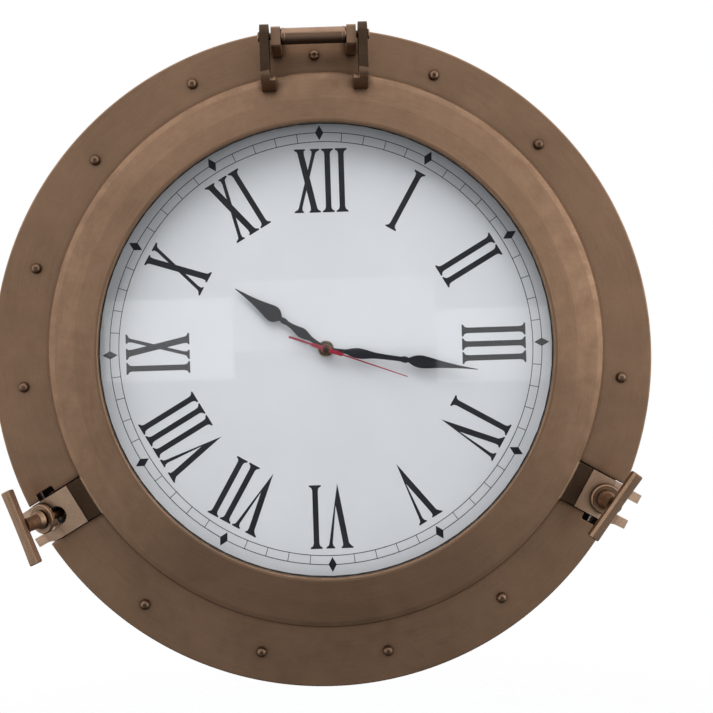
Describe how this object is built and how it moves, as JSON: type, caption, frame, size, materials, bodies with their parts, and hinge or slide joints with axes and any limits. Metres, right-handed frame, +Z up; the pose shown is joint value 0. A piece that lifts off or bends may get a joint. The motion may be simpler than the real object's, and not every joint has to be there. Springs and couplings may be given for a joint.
{
  "type": "ships deck clock",
  "caption": "Round wall clock in a porthole case: hinged glazed ring door, two swing-bolt dogs with T-handled nuts, Roman dial, three hands and a quartz movement.",
  "frame": {"origin": "the hands' axis where it meets the wall", "axes": "+Z up towards twelve o'clock, +Y into the wall, +X to three o'clock; the dial faces -Y"},
  "size_m": [0.508, 0.0563, 0.508],
  "materials": {
    "case_bronze": "antique brushed, lacquered",
    "door_bronze": "antique brushed, lacquered",
    "hinge_bronze": "antique, dark",
    "dog_bronze": "antique, worn at the edges",
    "screw_bronze": "antique, worn domes",
    "dial_enamel": "matte white with printed black numerals",
    "cover_steel": "satin black",
    "hanger_steel": "zinc plated",
    "movement_plastic": "moulded black",
    "knob_plastic": "moulded grey",
    "gear_plastic": "moulded acetal",
    "rotor_magnet": "moulded",
    "stator_steel": "bright",
    "coil_copper": "enamelled copper wire",
    "board_green": "solder mask",
    "battery_shell": "printed foil",
    "contact_steel": "nickel plated",
    "nut_brass": "bright",
    "washer_brass": "bright",
    "hand_black": "black lacquer",
    "hand_red": "red lacquer",
    "pane_glass": "clear, polished",
    "seal_rubber": "black",
    "gasket_rubber": "black",
    "spring_steel": "bright"
  },
  "bodies": {
    "case": {"flange_casting": "case_bronze", "hinge_ear_left": "case_bronze", "hinge_ear_right": "case_bronze", "hinge_pin": "hinge_bronze", "hinge_sleeve": "hinge_bronze", "flange_screw_01": "screw_bronze", "flange_screw_02": "screw_bronze", "flange_screw_03": "screw_bronze", "flange_screw_04": "screw_bronze", "flange_screw_05": "screw_bronze", "flange_screw_06": "screw_bronze", "flange_screw_07": "screw_bronze", "flange_screw_08": "screw_bronze", "flange_screw_09": "screw_bronze", "flange_screw_10": "screw_bronze", "flange_screw_11": "screw_bronze", "flange_screw_12": "screw_bronze", "dial_plate": "dial_enamel", "back_cover": "cover_steel", "hanger_bracket": "hanger_steel", "hanger_screw_left": "hanger_steel", "hanger_screw_right": "hanger_steel", "movement_front": "movement_plastic", "movement_back": "movement_plastic", "stator": "stator_steel", "coil": "coil_copper", "circuit_board": "board_green", "battery": "battery_shell", "battery_contact_positive": "contact_steel", "battery_contact_negative": "contact_steel", "bush_nut": "nut_brass", "bush_washer": "washer_brass"},
    "door": {"door_ring": "door_bronze", "glass": "pane_glass", "glazing_seal": "seal_rubber", "retaining_ring": "spring_steel", "door_gasket": "gasket_rubber", "hinge_arm_left": "door_bronze", "hinge_arm_right": "door_bronze", "door_lug_left": "door_bronze", "door_lug_right": "door_bronze", "pivot_pin_left": "dog_bronze", "pivot_pin_right": "dog_bronze"},
    "right_bolt": {"swing_bolt_right": "dog_bronze"},
    "right_collar": {"clamp_collar_right": "dog_bronze"},
    "right_nut": {"t_nut_right": "dog_bronze"},
    "left_bolt": {"swing_bolt_left": "dog_bronze"},
    "left_collar": {"clamp_collar_left": "dog_bronze"},
    "left_nut": {"t_nut_left": "dog_bronze"},
    "minute": {"centre_wheel": "gear_plastic", "minute_hand": "hand_black"},
    "hour": {"hour_wheel": "gear_plastic", "hour_hand": "hand_black"},
    "second": {"second_wheel": "gear_plastic", "second_hand": "hand_red"},
    "third": {"third_wheel": "gear_plastic"},
    "motion_wheel": {"minute_wheel": "gear_plastic"},
    "rotor": {"rotor": "rotor_magnet"},
    "set_knob": {"set_knob": "knob_plastic"}
  },
  "joints": [
    {"name": "door_hinge", "type": "hinge", "parent": "case", "child": "door", "pos_m": [-0.002, -0.046, 0.235], "axis": [-1, 0, 0], "range_deg": [0, 110]},
    {"name": "right_bolt_swing", "type": "hinge", "parent": "door", "child": "right_bolt", "pos_m": [0.21044, -0.0085, -0.1215], "axis": [0.5, 0, 0.866], "range_deg": [0, 42]},
    {"name": "right_collar_slide", "type": "slide", "parent": "right_bolt", "child": "right_collar", "axis": [0, -1, 0], "range_m": [0, 0.006]},
    {"name": "right_nut_turn", "type": "hinge", "parent": "right_collar", "child": "right_nut", "pos_m": [0.21044, -0.0495, -0.1215], "axis": [0, -1, 0], "range_deg": [0, 1080]},
    {"name": "left_bolt_swing", "type": "hinge", "parent": "door", "child": "left_bolt", "pos_m": [-0.21044, -0.0085, -0.1215], "axis": [0.5, 0, -0.866], "range_deg": [-25, 15]},
    {"name": "left_collar_slide", "type": "slide", "parent": "left_bolt", "child": "left_collar", "axis": [-0.4473, -0.8925, -0.0577], "range_m": [-0.0008, 0.003]},
    {"name": "left_nut_turn", "type": "hinge", "parent": "left_collar", "child": "left_nut", "pos_m": [-0.22878, -0.04509, -0.12387], "axis": [-0.4473, -0.8925, -0.0577], "range_deg": [-144, 540]},
    {"name": "minute_turn", "type": "hinge", "parent": "case", "child": "minute", "pos_m": [0, -0.025, 0], "axis": [0, 1, 0], "continuous": true},
    {"name": "hour_turn", "type": "hinge", "parent": "case", "child": "hour", "pos_m": [0, -0.023, 0], "axis": [0, 1, 0], "continuous": true},
    {"name": "second_turn", "type": "hinge", "parent": "case", "child": "second", "pos_m": [0, -0.027, 0], "axis": [0, 1, 0], "continuous": true},
    {"name": "third_turn", "type": "hinge", "parent": "case", "child": "third", "pos_m": [0.0083, -0.006, 0.0048], "axis": [0, 1, 0], "continuous": true},
    {"name": "motion_turn", "type": "hinge", "parent": "case", "child": "motion_wheel", "pos_m": [-0.0067, -0.01, 0.0067], "axis": [0, 1, 0], "continuous": true},
    {"name": "rotor_turn", "type": "hinge", "parent": "case", "child": "rotor", "pos_m": [-0.0095, -0.008, -0.00345], "axis": [0, 1, 0], "continuous": true},
    {"name": "knob_turn", "type": "hinge", "parent": "case", "child": "set_knob", "pos_m": [-0.00215, -0.002, 0.0146], "axis": [0, 1, 0], "continuous": true}
  ],
  "couplings": [
    {"joint": "right_collar_slide", "follows": "right_nut_turn", "m_per_rad": 0.00031831},
    {"joint": "left_collar_slide", "follows": "left_nut_turn", "m_per_rad": 0.00031831},
    {"joint": "hour_turn", "follows": "minute_turn", "ratio": 0.083333},
    {"joint": "motion_turn", "follows": "minute_turn", "ratio": -0.33333},
    {"joint": "third_turn", "follows": "minute_turn", "ratio": -8},
    {"joint": "second_turn", "follows": "minute_turn", "ratio": 60},
    {"joint": "rotor_turn", "follows": "minute_turn", "ratio": -600},
    {"joint": "knob_turn", "follows": "minute_turn", "ratio": 1.2}
  ]
}
